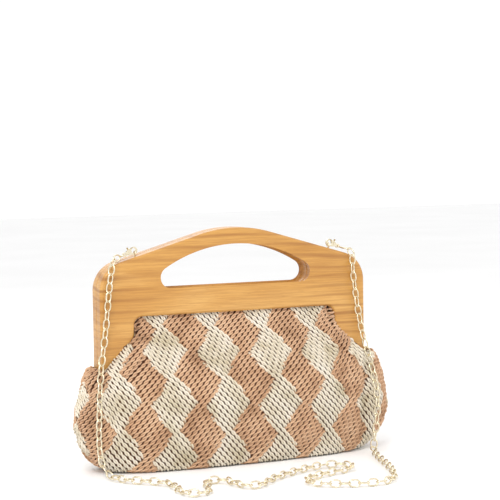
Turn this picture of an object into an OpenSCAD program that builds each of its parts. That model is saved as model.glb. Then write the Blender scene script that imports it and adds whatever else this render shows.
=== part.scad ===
// Clutch purse with a two-part wooden handle frame, a soft woven bag and a chain shoulder strap.
// +X runs along the frame, -Y is the front and +Z is up. The bag stands on z = 0.

/* [Wooden frame] */
// Width of the wooden frame across both legs
frame_w = 275; // [270:1:280]
// Thickness of one wooden half
wood_t = 12; // [11.5:0.5:12.5]
// Height of the frame's highest point above the ground
frame_top = 223; // [222:0.5:224]
// Height of the straight lower edge of the cross-bar
bar_z = 143; // [142:0.5:144]
// Radius of the arch over the hand hole
arch_r = 130; // [120:5:150]
// Downward slope of the shoulders, in degrees
shoulder_slope = 16.2; // [15.6:0.2:16.8]
// Radius of the two shoulder corners
shoulder_r = 28; // [26:1:30]
// Height of the hinge axis at the leg ends
hinge_z = 86; // [86:0.2:87]

/* [Hand hole] */
// Overall width of the hand hole
hole_w = 161; // [150:1:164]
// Height of the hand hole at its middle
hole_h = 45; // [42:0.5:46]
// Height above the ground of the hand hole's straight lower edge
hole_z = 165.5; // [165:0.5:168]
// Radius of the hand hole's round ends
hole_end_r = 13; // [10:0.5:15]

/* [Bag] */
// Wall thickness of the woven fabric
weave_t = 2.4; // [2:0.1:2.5]
// Wall thickness of the lining
lining_t = 0.8; // [0.6:0.1:0.9]
// How squarely the bag's plan outline fills its corners
bag_power = 2.6; // [2.5:0.1:2.8]

/* [Closure and hardware] */
// Diameter of the closure magnets
magnet_d = 9; // [8:0.5:10]
// Distance of each closure magnet from the middle
magnet_x = 62; // [50:1:70]
// Distance of each screw eye from the middle
eye_x = 101; // [100.5:0.1:101.5]
// Diameter of the hinge pins
pin_d = 2; // [1.8:0.1:2.2]

/* [Chain strap] */
// Diameter of the envelope that the chain strap's links fill
chain_d = 7; // [6:0.1:7]

/* [Hidden] */

half_w = frame_w / 2;
part_gap = 0.15;        // half the gap between the two wooden halves when they are shut
soft_gap = 0.3;         // gap left between soft layers

// Shoulder outline: the arch runs into a straight slope, which runs into the corner round.
arch_cz = frame_top - arch_r;
slope_x = arch_r * sin(shoulder_slope);
slope_z = arch_cz + arch_r * cos(shoulder_slope);
corner_z = slope_z - (half_w - slope_x) * tan(shoulder_slope);
corner_run = shoulder_r * tan((90 - shoulder_slope) / 2);
corner_cx = half_w - shoulder_r;
corner_cz = corner_z - corner_run;

// Legs: the inner edge drops straight from the cross-bar, then tapers to the hinge.
leg_end_z = hinge_z + 2.6;
leg_in_x = 104.5;
leg_tip_x = 121.5;
leg_bend_z = 124;
inner_r = 8;
tip_r = 2;

// Hand hole: the radius of its arched top makes the arch run smoothly into the round ends.
end_cx = hole_w / 2 - hole_end_r;
end_cz = hole_z + hole_end_r;
end_to_top = hole_h - hole_end_r;
hole_arch_r = (pow(end_cx, 2) + pow(end_to_top, 2) - pow(hole_end_r, 2)) / (2 * (hole_h - 2 * hole_end_r));
hole_arch_cz = hole_z + hole_h - hole_arch_r;
hole_meet = atan2(end_cz - hole_arch_cz, end_cx);

// The clamp strip holds the cloth's top hem in a rebate behind the cross-bar's lower edge.
rebate_d = 6.5;
rebate_top = 153;
rebate_half = 101.5;
strip_half = 98;
strip_y = [0.5, 2.8];
strip_z = [bar_z + 1, rebate_top - 0.5];
clamp_screw_x = [-80, -40, 0, 40, 80];
clamp_screw_z = 149.8;
hem_z = 147;

magnet_z = 159.2;
magnet_t = 3;

// Hinges: five knuckles on each pin, three on the front leaf and two on the back leaf.
hinge_x = 128.5;
knuckle_len = 2.6;
knuckle_pitch = 2.8;
knuckle_r = 2.2;
leaf_t = 1;
leaf_fit = 0.05;        // gap above and below a leaf in its recess
leaf_w = 14;
leaf_z = [leg_end_z + 0.2, 103];
pin_fit = 0.06;
screw_z = [93.5, 99];
screw_r = 1;
screw_head_r = 1.7;
screw_len = 7;

// Bag: its half width, half depth and edge depth at each height.
width_at = [
    [0, 122], [2, 130], [6, 138], [13, 147], [26, 155.5], [42, 160], [60, 158.5], [74, 155], [84, 151],
    [92, 148.5], [97, 146], [104, 138], [112, 125], [120, 112], [130, 106.5], [143, 105], [160, 105]
];
depth_at = [
    [0, 31], [2, 35], [6, 38.5], [13, 41.5], [26, 45], [42, 47], [60, 46.5], [74, 45], [84, 42.5],
    [97, 36], [104, 32], [112, 27], [120, 21.5], [128, 16], [136, 10.5], [143, 6.2], [160, 6.2]
];
edge_at = [[84, 0], [104, 2], [120, 3], [136, 5], [143, 6.2], [160, 6.2]];
around = 64;            // points around the bag
rim_z = 83.6;           // the fixed lower bag ends here
shell_z = [6, 13, 26, 42, 60, 70, 77, rim_z];
floor_t = 3;
ear_h = 13;             // rise of the rim at each end of the bag, outside the legs
ear_from = 0.945;       // share of the half width at which the rim starts to rise
ear_run = 0.035;
ear_from_z = 55;        // the rise fades out down to this height
lining_out = weave_t + soft_gap;
lining_floor_z = 5.2;
board_z = [3.3, 4.9];
board_half = [112, 27];

// Panels and folds: the panels swing with the wooden halves, and the folds give way below them.
panel_z = 104;
panel_half = 100.5;
fold_half = 138;
fold_over_leg = 14.95;  // least half depth of a fold where it lies over a leg
over_leg_x = 101.8;
fold_leg_x = [101.3, 102.4];
fold_leg_z = [127.5, 94];

// Screw eyes, and clasps that hook them in a plane parallel to the frame.
eye_r = 2.2;
eye_wire = 0.55;
eye_y = -part_gap - wood_t / 2;
eye_base_z = slope_z - (eye_x - slope_x) * tan(shoulder_slope);
eye_z = eye_base_z + 0.3 + eye_r + eye_wire;
eye_screw_r = 0.9;
eye_screw_len = 9;
clasp_tilt = 22;
clasp_t = 1.8;
claw_at = [eye_x + 1.15, eye_z + 2.53];
claw_r = [2.2, 3.7];
claw_mouth = [[0, 0], [1.2, 2.2], [1.4, 6], [-1.6, 6], [-0.8, 2.6]];
clasp_body = [[3.2, 0.2, 3.1], [7.4, 0, 1.5]];      // centre and radius of the body's two ends
tail_x = 9.6;
tail_r = [1.1, 2];
trigger_at = [4.9, 1.2];
trigger_t = 0.8;
trigger_hub_r = 0.95;
knob_at = [4.75, 4.3];
knob_r = 0.8;
knob_stem = [0.9, 2.2];
trigger_lever = [
    [-0.2, 2.45], [0.6, 2.45], [1.8, 1.9], [4.2, 0.6], [5.2, 2.1], [3.4, 3.1], [1.2, 3.45], [-0.3, 3.35]
];
slot_t = 1;
rivet_r = 0.5;
rivet_fit = 0.05;
rivet_head = [0.85, 0.3];   // radius and thickness
spring_outline = [[5.4, -0.15], [7.4, 0.4], [7.4, 0.62], [5.4, 0.08]];
spring_t = 0.7;
jump_r = 2.4;
jump_wire = 0.5;

// Centre line of the chain strap from the left clasp to the right clasp.
chain_route = [
    [-116.2, -6.2, 199], [-120.5, -8, 197.7], [-124.6, -12.4, 196.2], [-126.8, -15.6, 192.6],
    [-128, -16.6, 186], [-130, -16.2, 172], [-132, -16.2, 154], [-134, -16.4, 136], [-137, -17.5, 118],
    [-141, -21, 100], [-144.5, -26, 78], [-147, -29.5, 54], [-148, -31, 32], [-147, -34, 14],
    [-144.5, -42, 5.4], [-140, -55, 3.6], [-132, -70, 3.6], [-119, -82, 3.6], [-108, -96, 3.6],
    [-107, -114, 3.6], [-110, -132, 3.6], [-104, -148, 3.6], [-90, -147, 3.6], [-83, -132, 3.6],
    [-79, -114, 3.6], [-69, -104, 3.6], [-57, -110, 3.6], [-55, -126, 3.6], [-50, -140, 3.6],
    [-37, -142, 3.6], [-26, -131, 3.6], [-10, -118, 3.6], [10, -106, 3.6], [33, -95, 3.6], [54, -90, 3.6],
    [69, -96, 3.6], [70, -110, 3.6], [56, -119, 3.6], [36, -125, 3.6], [16, -134, 3.6], [5, -148, 3.6],
    [11, -164, 3.6], [28, -174, 3.6], [48, -181, 3.6], [68, -180, 3.6], [83, -165, 3.6], [94, -142, 3.6],
    [103, -116, 3.6], [111, -90, 3.6], [118, -68, 3.6], [124, -53, 4.2], [129, -44, 9.5],
    [133, -40.5, 22], [136, -39, 40], [137, -36.5, 58], [136, -31.5, 76], [134, -25.5, 94],
    [131.5, -19.5, 112], [129, -16.8, 130], [126, -16.2, 150], [123.5, -16.2, 168], [122.3, -16.4, 180],
    [122.2, -16.6, 188.6], [122.2, -15.9, 194.2], [121.8, -12.3, 197.7], [119.8, -8, 198],
    [116.2, -6.2, 199]
];
chain_sides = 8;
chain_bore_r = 2.9;     // leaves a thin wall, because open links weigh far less than a solid tube

// ---- functions ----

function lerp(a, b, t) = a + (b - a) * t;
function smooth(t) = let (c = min(1, max(0, t))) c * c * (3 - 2 * c);
function signed_pow(v, p) = sign(v) * pow(abs(v), p);

// A point on a round-cornered oval at an angle.
function oval(a, b, angle) = [
    a * signed_pow(cos(angle), 2 / bag_power), b * signed_pow(sin(angle), 2 / bag_power)
];

// Points along an arc of a drawing, from one angle to another.
function arc(centre, r, from, to, steps) = [
    for (i = [0 : steps]) let (angle = lerp(from, to, i / steps)) centre + r * [cos(angle), sin(angle)]
];

// A closed outline from the points of its right half.
function both_sides(right) = concat(right, [for (i = [len(right) - 1 : -1 : 0]) [-right[i].x, right[i].y]]);

// Half depth of the bag's outer surface at a place across it and a height above the ground.
function bag_y(x, z) =
    let (edge = lookup(z, edge_at), deep = lookup(z, depth_at))
    let (across = min(1, abs(x) / lookup(z, width_at)))
    edge + (deep - edge) * pow(1 - pow(across, bag_power), 1 / bag_power);

// How far the rim is raised at an angle around the bag, from 0 to 1.
function ear(angle) = smooth((pow(abs(cos(angle)), 2 / bag_power) - ear_from) / ear_run);

// One closed ring of points around the bag, inset from its outer surface.
function bag_ring(z, inset) = [
    for (i = [0 : around - 1])
        let (angle = 360 * i / around)
        let (high = z + ear_h * ear(angle) * smooth((z - ear_from_z) / (rim_z - ear_from_z)))
        let (p = oval(lookup(high, width_at) - inset, lookup(high, depth_at) - inset, angle))
        [p.x, p.y, high]
];

// Height of a fold's top edge: level under the panel, and slanting down over each leg.
function fold_top(x) =
    abs(x) < over_leg_x ? panel_z - soft_gap :
    lerp(fold_leg_z[0], fold_leg_z[1], (abs(x) - fold_leg_x[1]) / (fold_half - fold_leg_x[1]));

// Grid points of a patch: each is [x, z, least half depth]. A panel ends in the hem behind the cross-bar.
panel_rows = [for (r = [0 : 7]) lerp(panel_z, bar_z, r / 7), hem_z];
panel_grid = [for (z = panel_rows) [for (c = [0 : 24]) [lerp(-panel_half, panel_half, c / 24), z, 0]]];
fold_x = [
    for (c = [0 : 7]) lerp(-fold_half, -fold_leg_x[1], c / 7),
    for (c = [0 : 20]) lerp(-fold_leg_x[0], fold_leg_x[0], c / 20),
    for (c = [0 : 7]) lerp(fold_leg_x[1], fold_half, c / 7)
];
fold_grid = [
    for (r = [0 : 6]) [
        for (x = fold_x)
            [x, lerp(rim_z + soft_gap, fold_top(x), r / 6), abs(x) > over_leg_x ? fold_over_leg : 0]
    ]
];

// ---- shared shapes ----

// Triangles that join a stack of rings, closed by a cap at each end.
module ring_stack(rings) {
    n = len(rings[0]);
    sides = [
        for (r = [0 : len(rings) - 2], i = [0 : n - 1])
            let (a = r * n + i, b = r * n + (i + 1) % n)
            each [[a, a + n, b], [b, a + n, b + n]]
    ];
    first = [for (i = [0 : n - 1]) i];
    last = [for (i = [n - 1 : -1 : 0]) (len(rings) - 1) * n + i];
    polyhedron(points = [for (ring = rings) each ring], faces = concat(sides, [first, last]));
}

// A patch of cloth of even thickness on the bag's surface: side is -1 at the front and 1 at the back.
module cloth_patch(side, grid, inset, thickness) {
    rows = len(grid);
    cols = len(grid[0]);
    count = rows * cols;
    function at(r, c) = r * cols + c;
    function skin(depth) = [
        for (row = grid, p = row) [p.x, side * (max(bag_y(p.x, p.y), p.z) - depth), p.y]
    ];
    outer = [
        for (r = [0 : rows - 2], c = [0 : cols - 2])
            each [[at(r, c), at(r, c + 1), at(r + 1, c)], [at(r, c + 1), at(r + 1, c + 1), at(r + 1, c)]]
    ];
    inner = [for (f = outer) [f[0] + count, f[2] + count, f[1] + count]];
    edges = concat(
        [for (c = [0 : cols - 2]) [at(0, c), at(0, c + 1)]],
        [for (r = [0 : rows - 2]) [at(r, cols - 1), at(r + 1, cols - 1)]],
        [for (c = [cols - 1 : -1 : 1]) [at(rows - 1, c), at(rows - 1, c - 1)]],
        [for (r = [rows - 1 : -1 : 1]) [at(r, 0), at(r - 1, 0)]]
    );
    wall = [for (e = edges) each [[e[0], e[0] + count, e[1]], [e[1], e[0] + count, e[1] + count]]];
    faces = concat(outer, inner, wall);
    polyhedron(
        points = concat(skin(inset), skin(inset + thickness)),
        faces = side < 0 ? [for (f = faces) [f[0], f[2], f[1]]] : faces
    );
}

// The two skins of the lower bag, joined round the rim and closed over the floor.
module bag_shell(inset, thickness, floor_rings, floor_top, rim_drop) {
    high = [for (z = shell_z) if (z > floor_top + 1) z == rim_z ? rim_z - rim_drop : z];
    top = len(high) - 1;
    ring_stack(concat(
        [for (z = concat(floor_rings, high)) bag_ring(z, inset)],
        [for (i = [top : -1 : 0]) bag_ring(high[i], inset + thickness)],
        [bag_ring(floor_top, inset + thickness)]
    ));
}

// Rings of points around a route, one at each route point.
function tube_rings(route, radius, sides) = let (last = len(route) - 1) [
    for (i = [0 : last])
        let (ahead = route[min(i + 1, last)] - route[max(i - 1, 0)])
        let (flat = cross(ahead, [0.2, 1, 0.6]), across = flat / norm(flat))
        let (over = cross(across, ahead), up = over / norm(over))
        [
            for (k = [0 : sides - 1])
                let (angle = -360 * (k + 0.5) / sides)
                route[i] + radius * (cos(angle) * across + sin(angle) * up)
        ]
];

// An open-ended tube along a route: its rings run out along the outside and back along the bore.
// Both walls are split along the same diagonals, so that they stay parallel round the bends.
module swept_tube(route, radius, bore_r, sides) {
    outside = tube_rings(route, radius, sides);
    bore = tube_rings(route, bore_r, sides);
    rings = concat(outside, [for (i = [len(bore) - 1 : -1 : 0]) bore[i]]);
    count = len(rings) * sides;
    faces = [
        for (r = [0 : len(rings) - 1], i = [0 : sides - 1])
            let (a = r * sides + i, b = r * sides + (i + 1) % sides)
            let (c = (a + sides) % count, d = (b + sides) % count)
            each r < len(outside) ? [[a, c, b], [b, c, d]] : [[a, c, d], [a, d, b]]
    ];
    polyhedron(points = [for (ring = rings) each ring], faces = faces);
}

// Stands a drawing of the frame's face upright, as a slab that starts behind the parting plane.
module upright(thickness) {
    rotate([90, 0, 0]) translate([0, 0, part_gap]) linear_extrude(thickness) children();
}

// A hole or a peg that runs forward from the plane y = -from.
module along_y(x, z, from, r, length) {
    translate([x, -from, z]) rotate([90, 0, 0]) cylinder(h = length, r = r, $fn = 32);
}

module torus(r, wire) {
    rotate_extrude($fn = 48) translate([r, 0]) circle(wire, $fn = 20);
}

// Puts a clasp drawing in its place: its own X runs from the claw to the tail.
module at_clasp(side) {
    mirror([side < 0 ? 1 : 0, 0, 0]) translate([claw_at.x, eye_y, claw_at.y]) rotate([0, clasp_tilt, 0])
        rotate([90, 0, 0]) children();
}

// ---- wooden half ----

module frame_outline() {
    right = concat(
        arc([0, arch_cz], arch_r, 90, 90 - shoulder_slope, 10),
        arc([corner_cx, corner_cz], shoulder_r, 90 - shoulder_slope, 0, 12),
        arc([half_w - tip_r, leg_end_z + tip_r], tip_r, 0, -90, 4),
        [[leg_tip_x, leg_end_z], [leg_in_x, leg_bend_z]],
        arc([leg_in_x - inner_r, bar_z - inner_r], inner_r, 0, 90, 6)
    );
    polygon(both_sides(right));
}

module hand_hole_outline() {
    right = concat(
        arc([end_cx, end_cz], hole_end_r, -90, hole_meet, 14),
        arc([0, hole_arch_cz], hole_arch_r, hole_meet + 2, 90, 14)
    );
    polygon(both_sides(right));
}

module wood_half(with_eyes) {
    color("burlywood") difference() {
        upright(wood_t) difference() {
            frame_outline();
            hand_hole_outline();
        }
        translate([-rebate_half, -part_gap - rebate_d, bar_z - 1])
            cube([2 * rebate_half, rebate_d + 1, rebate_top - bar_z + 1]);
        for (side = [-1, 1]) {
            translate([side * hinge_x - leaf_w / 2 - 0.2, -part_gap - leaf_t, leg_end_z - 1])
                cube([leaf_w + 0.4, leaf_t + 1, leaf_z[1] + 1.2 - leg_end_z]);
            for (z = screw_z) along_y(side * hinge_x, z, 0, screw_r + 0.05, screw_len + 0.8);
            along_y(side * magnet_x, magnet_z, 0, magnet_d / 2 + 0.1, magnet_t + 0.4);
            if (with_eyes) translate([side * eye_x, eye_y, eye_base_z - eye_screw_len])
                cylinder(h = 2 * eye_screw_len, r = eye_screw_r + 0.05, $fn = 32);
        }
        for (x = clamp_screw_x) along_y(x, clamp_screw_z, 0, screw_r + 0.05, 10.4);
    }
}

module front_wood() {
    wood_half(true);
}

module back_wood() {
    mirror([0, 1, 0]) wood_half(false);
}

// ---- hinges, clamp strip, screws and magnets of one half ----

// Two hinge leaves: own lists which of the five knuckle places belong to this half.
module hinge_leaves_half(own) {
    color("goldenrod") for (side = [-1, 1]) translate([side * hinge_x, 0, 0]) difference() {
        union() {
            translate([-leaf_w / 2, -part_gap - leaf_t + leaf_fit, leaf_z[0]])
                cube([leaf_w, leaf_t - 2 * leaf_fit, leaf_z[1] - leaf_z[0]]);
            for (k = own) translate([(k - 2) * knuckle_pitch - knuckle_len / 2, 0, hinge_z]) {
                translate([0, -part_gap - leaf_t + leaf_fit, 0])
                    cube([knuckle_len, leaf_t - 2 * leaf_fit, 2 * knuckle_r]);
                rotate([0, 90, 0]) cylinder(h = knuckle_len, r = knuckle_r, $fn = 40);
            }
        }
        translate([-leaf_w, 0, hinge_z]) rotate([0, 90, 0])
            cylinder(h = 2 * leaf_w, r = pin_d / 2 + pin_fit, $fn = 32);
        for (z = screw_z) along_y(0, z, 0, screw_head_r + 0.05, 3);
    }
}

module front_hinge_leaves() {
    hinge_leaves_half([0, 2, 4]);
}

module back_hinge_leaves() {
    mirror([0, 1, 0]) hinge_leaves_half([1, 3]);
}

module hinge_pins() {
    color("goldenrod") for (side = [-1, 1])
        translate([side * hinge_x - leaf_w / 2 - 0.5, 0, hinge_z]) rotate([0, 90, 0])
            cylinder(h = leaf_w + 1, r = pin_d / 2, $fn = 32);
}

// A small flat-headed screw, its head towards the parting plane.
module small_screw(x, z, from, length) {
    along_y(x, z, from, screw_head_r, 0.6);
    along_y(x, z, from, screw_r, length);
}

module hinge_screws_half() {
    color("gold") for (side = [-1, 1], z = screw_z)
        small_screw(side * hinge_x, z, part_gap + 0.25, screw_len);
}

module front_hinge_screws() {
    hinge_screws_half();
}

module back_hinge_screws() {
    mirror([0, 1, 0]) hinge_screws_half();
}

module clamp_strip_half() {
    color("tan") difference() {
        translate([-strip_half, -strip_y[1], strip_z[0]])
            cube([2 * strip_half, strip_y[1] - strip_y[0], strip_z[1] - strip_z[0]]);
        for (x = clamp_screw_x) {
            along_y(x, clamp_screw_z, 0, screw_r + 0.05, 4);
            along_y(x, clamp_screw_z, 0, screw_head_r + 0.05, strip_y[0] + 0.75);
        }
    }
}

module front_clamp_strip() {
    clamp_strip_half();
}

module back_clamp_strip() {
    mirror([0, 1, 0]) clamp_strip_half();
}

module clamp_screws_half() {
    color("gold") for (x = clamp_screw_x) small_screw(x, clamp_screw_z, strip_y[0] + 0.1, 9.4);
}

module front_clamp_screws() {
    clamp_screws_half();
}

module back_clamp_screws() {
    mirror([0, 1, 0]) clamp_screws_half();
}

module magnets_half() {
    color("silver") for (side = [-1, 1])
        along_y(side * magnet_x, magnet_z, part_gap + 0.1, magnet_d / 2, magnet_t);
}

module front_magnets() {
    magnets_half();
}

module back_magnets() {
    mirror([0, 1, 0]) magnets_half();
}

// ---- soft pieces ----

module lower_shell() {
    color("peru") bag_shell(0, weave_t, [0, 2], floor_t, 0);
}

module lower_lining() {
    color("linen") bag_shell(lining_out, lining_t, [lining_floor_z], lining_floor_z + lining_t, 1.6);
}

module base_board() {
    color("dimgray") ring_stack([
        for (z = board_z) [
            for (i = [0 : around - 1])
                let (p = oval(board_half.x, board_half.y, 360 * i / around)) [p.x, p.y, z]
        ]
    ]);
}

module inner_pocket() {
    pocket = [for (r = [0 : 4]) [for (c = [0 : 12]) [lerp(-52, 52, c / 12), lerp(28, 72, r / 4), 0]]];
    color("wheat") cloth_patch(1, pocket, lining_out + lining_t + 0.6, 0.6);
}

module front_fold() {
    color("peru") cloth_patch(-1, fold_grid, 0, weave_t);
}

module back_fold() {
    color("peru") cloth_patch(1, fold_grid, 0, weave_t);
}

module front_panel() {
    color("peru") cloth_patch(-1, panel_grid, 0, weave_t);
}

module back_panel() {
    color("peru") cloth_patch(1, panel_grid, 0, weave_t);
}

module front_lining() {
    color("linen") cloth_patch(-1, panel_grid, lining_out, lining_t - 0.1);
}

module back_lining() {
    color("linen") cloth_patch(1, panel_grid, lining_out, lining_t - 0.1);
}

// ---- screw eyes, clasps and chain strap ----

module screw_eye(side) {
    color("gold") translate([side * eye_x, eye_y, 0]) {
        translate([0, 0, eye_z]) rotate([0, 90, 0]) torus(eye_r, eye_wire);
        translate([0, 0, eye_base_z - eye_screw_len + 0.4])
            cylinder(h = eye_screw_len + eye_wire, r = eye_screw_r, $fn = 32);
    }
}

module screw_eye_left() {
    screw_eye(-1);
}

module screw_eye_right() {
    screw_eye(1);
}

module clasp_outline() {
    difference() {
        union() {
            circle(claw_r[1], $fn = 48);
            hull() for (end = clasp_body) translate([end.x, end.y]) circle(end.z, $fn = 32);
            translate([tail_x, 0]) circle(tail_r[1], $fn = 40);
        }
        circle(claw_r[0], $fn = 40);
        translate([tail_x, 0]) circle(tail_r[0], $fn = 32);
        polygon(claw_mouth);
    }
}

module clasp(side) {
    color("gold") at_clasp(side) difference() {
        translate([0, 0, -clasp_t / 2]) linear_extrude(clasp_t) clasp_outline();
        translate([0.6, -0.3, -slot_t / 2]) cube([7, 5, slot_t]);
        translate([trigger_at.x, trigger_at.y, -clasp_t])
            cylinder(h = 2 * clasp_t, r = rivet_r + rivet_fit, $fn = 32);
    }
}

module clasp_left() {
    clasp(-1);
}

module clasp_right() {
    clasp(1);
}

// The sprung lever that shuts the claw, with a thumb knob.
module clasp_trigger(side) {
    color("dimgray") at_clasp(side) translate([0, 0, -trigger_t / 2]) difference() {
        linear_extrude(trigger_t) union() {
            polygon(trigger_lever);
            translate(trigger_at) circle(trigger_hub_r, $fn = 32);
            translate([knob_at.x - knob_stem.x / 2, knob_at.y - 2.5]) square(knob_stem);
            translate(knob_at) circle(knob_r, $fn = 32);
        }
        translate([trigger_at.x, trigger_at.y, -1]) cylinder(h = 3, r = rivet_r + rivet_fit, $fn = 32);
    }
}

module clasp_trigger_left() {
    clasp_trigger(-1);
}

module clasp_trigger_right() {
    clasp_trigger(1);
}

module clasp_rivet(side) {
    color("gold") at_clasp(side) translate([trigger_at.x, trigger_at.y, 0]) {
        translate([0, 0, -clasp_t / 2 - rivet_head[1]])
            cylinder(h = clasp_t + 2 * rivet_head[1], r = rivet_r, $fn = 32);
        for (end = [0, 1]) mirror([0, 0, end]) translate([0, 0, clasp_t / 2 + rivet_fit])
            cylinder(h = rivet_head[1], r = rivet_head[0], $fn = 32);
    }
}

module clasp_rivet_left() {
    clasp_rivet(-1);
}

module clasp_rivet_right() {
    clasp_rivet(1);
}

module clasp_spring(side) {
    color("silver") at_clasp(side) translate([0, 0, -spring_t / 2]) linear_extrude(spring_t)
        polygon(spring_outline);
}

module clasp_spring_left() {
    clasp_spring(-1);
}

module clasp_spring_right() {
    clasp_spring(1);
}

// The ring that joins a clasp's tail to the chain's last link.
module jump_ring(side) {
    color("gold") at_clasp(side) translate([tail_x + jump_r, 0, 0]) rotate([90, 0, 0])
        torus(jump_r, jump_wire);
}

module jump_ring_left() {
    jump_ring(-1);
}

module jump_ring_right() {
    jump_ring(1);
}

module chain_strap() {
    color("khaki") swept_tube(chain_route, chain_d / 2, chain_bore_r, chain_sides);
}

lower_shell();
lower_lining();
base_board();
inner_pocket();
hinge_pins();
front_fold();
back_fold();
chain_strap();
front_wood();
front_hinge_leaves();
front_hinge_screws();
front_panel();
front_lining();
front_clamp_strip();
front_clamp_screws();
front_magnets();
screw_eye_left();
screw_eye_right();
clasp_left();
clasp_right();
clasp_rivet_left();
clasp_rivet_right();
clasp_spring_left();
clasp_spring_right();
jump_ring_left();
jump_ring_right();
clasp_trigger_left();
clasp_trigger_right();
back_wood();
back_hinge_leaves();
back_hinge_screws();
back_panel();
back_lining();
back_clamp_strip();
back_clamp_screws();
back_magnets();
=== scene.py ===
"""Looks of the wooden-handled clutch purse: chain strap, wooden halves, woven cloth, lining and metal."""

import math

import bmesh
import bpy
import numpy as np
from mathutils import Matrix, Vector
from mathutils.geometry import tessellate_polygon


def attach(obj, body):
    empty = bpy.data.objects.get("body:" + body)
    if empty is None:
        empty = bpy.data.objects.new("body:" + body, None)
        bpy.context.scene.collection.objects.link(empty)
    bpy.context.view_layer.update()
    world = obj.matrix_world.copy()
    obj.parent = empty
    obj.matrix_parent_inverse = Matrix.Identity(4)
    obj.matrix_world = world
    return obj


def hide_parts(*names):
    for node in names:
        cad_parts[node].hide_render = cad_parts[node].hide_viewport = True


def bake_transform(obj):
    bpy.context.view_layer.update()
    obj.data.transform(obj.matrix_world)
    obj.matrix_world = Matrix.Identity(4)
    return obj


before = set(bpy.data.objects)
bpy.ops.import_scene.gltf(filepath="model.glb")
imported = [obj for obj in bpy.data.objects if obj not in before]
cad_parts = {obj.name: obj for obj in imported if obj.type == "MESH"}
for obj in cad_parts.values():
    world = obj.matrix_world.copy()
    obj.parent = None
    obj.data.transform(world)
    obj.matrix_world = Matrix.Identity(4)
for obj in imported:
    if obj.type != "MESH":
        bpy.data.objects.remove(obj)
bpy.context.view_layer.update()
MM = 0.001
rng = np.random.default_rng(7)


# ---- camera, light and floor ----

# The camera's place, angles and lens, fitted to the photo.
CAMERA_AT = (-0.616, -1.402, 0.2929)
CAMERA_YAW, CAMERA_PITCH, CAMERA_ROLL = math.radians(24.386), math.radians(3.451), math.radians(-0.896)
SENSOR_W, LENS = 36, 115.2
FLOOR_Z = -0.0002
FLOOR_SIZE = 12


def add_object(name, data):
    made = bpy.data.objects.new(name, data)
    bpy.context.scene.collection.objects.link(made)
    return made


def make_camera():
    data = bpy.data.cameras.new("camera")
    data.sensor_width = SENSOR_W
    data.lens = LENS
    camera = add_object("camera", data)
    forward = Vector((
        math.sin(CAMERA_YAW) * math.cos(CAMERA_PITCH),
        math.cos(CAMERA_YAW) * math.cos(CAMERA_PITCH),
        -math.sin(CAMERA_PITCH),
    ))
    right = Vector((math.cos(CAMERA_YAW), -math.sin(CAMERA_YAW), 0))
    up = right.cross(forward)
    turn = Matrix.Rotation(-CAMERA_ROLL, 3, forward)
    axes = Matrix((turn @ right, turn @ up, -forward)).transposed()
    camera.matrix_world = Matrix.Translation(CAMERA_AT) @ axes.to_4x4()
    bpy.context.scene.camera = camera


def area_light(name, place, aim, size, power, colour=(1, 1, 1)):
    data = bpy.data.lights.new(name, "AREA")
    data.shape = "SQUARE"
    data.size = size
    data.energy = power
    data.color = colour
    light = add_object(name, data)
    light.location = place
    light.rotation_mode = "QUATERNION"
    light.rotation_quaternion = (Vector(aim) - Vector(place)).to_track_quat("-Z", "Y")


def make_studio():
    scene = bpy.context.scene
    scene.view_settings.view_transform = "Standard"
    world = bpy.data.worlds.new("studio")
    scene.world = world
    world.use_nodes = True
    background = world.node_tree.nodes["Background"]
    background.inputs["Color"].default_value = (1, 1, 1, 1)
    background.inputs["Strength"].default_value = 1.05
    middle = (0, 0, 0.1)
    area_light("key", (-0.75, -0.9, 1.25), middle, 0.7, 12, (1, 0.99, 0.975))
    area_light("fill", (1.3, -0.9, 0.6), middle, 1.0, 3)
    area_light("rim", (0.2, 1.3, 1.1), middle, 0.9, 4)
    bpy.ops.mesh.primitive_plane_add(size=FLOOR_SIZE, location=(0, 0, FLOOR_Z))
    floor = bpy.context.object
    floor.name = "floor"
    floor.data.materials.append(plain_floor())


# ---- materials ----

def srgb(r, g, b):
    """A linear colour from 0-255 screen values."""
    def linear(v):
        v /= 255
        return v / 12.92 if v <= 0.04045 else ((v + 0.055) / 1.055) ** 2.4
    return (linear(r), linear(g), linear(b), 1)


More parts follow.
